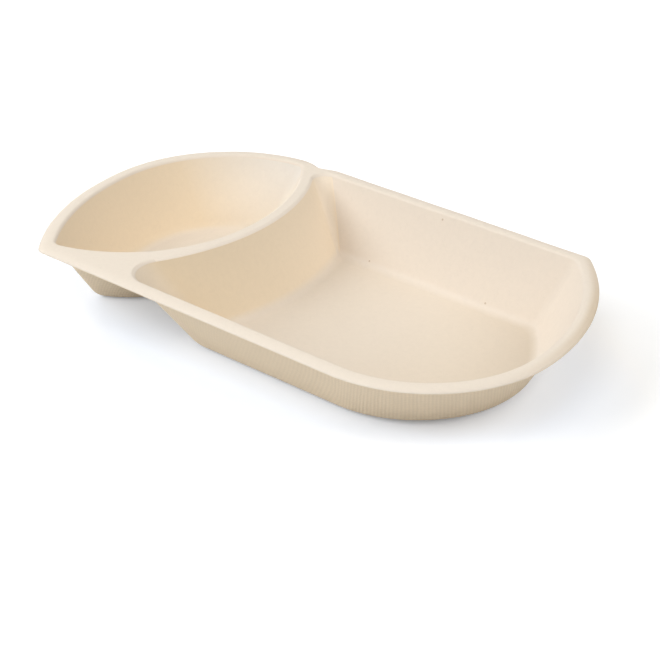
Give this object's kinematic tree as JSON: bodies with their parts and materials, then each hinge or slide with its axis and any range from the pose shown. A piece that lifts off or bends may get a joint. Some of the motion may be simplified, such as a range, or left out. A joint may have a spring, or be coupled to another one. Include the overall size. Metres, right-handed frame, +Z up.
{
  "type": "compartment food tray",
  "caption": "Shallow pressed-fibre food tray with rounded ends, a large well, a lens-shaped sauce well, a curved crest between them and a turned-down rim.",
  "frame": {"origin": "middle of the tray's outline, on the surface it stands on", "axes": "+X along the tray from the sauce end to the large end, +Y across it to the side with the notch, +Z up"},
  "size_m": [0.22, 0.126, 0.0272],
  "materials": {
    "moulded_fibre": "matt pressed plant fibre, smooth inside, forming-screen weave outside"
  },
  "bodies": {
    "root": {"rim_flange": "moulded_fibre", "divider_crest": "moulded_fibre", "large_near_wall": "moulded_fibre", "large_end_wall": "moulded_fibre", "large_far_wall": "moulded_fibre", "large_divider_wall": "moulded_fibre", "large_floor": "moulded_fibre", "sauce_end_wall": "moulded_fibre", "sauce_divider_wall": "moulded_fibre", "sauce_floor": "moulded_fibre"}
  },
  "joints": []
}
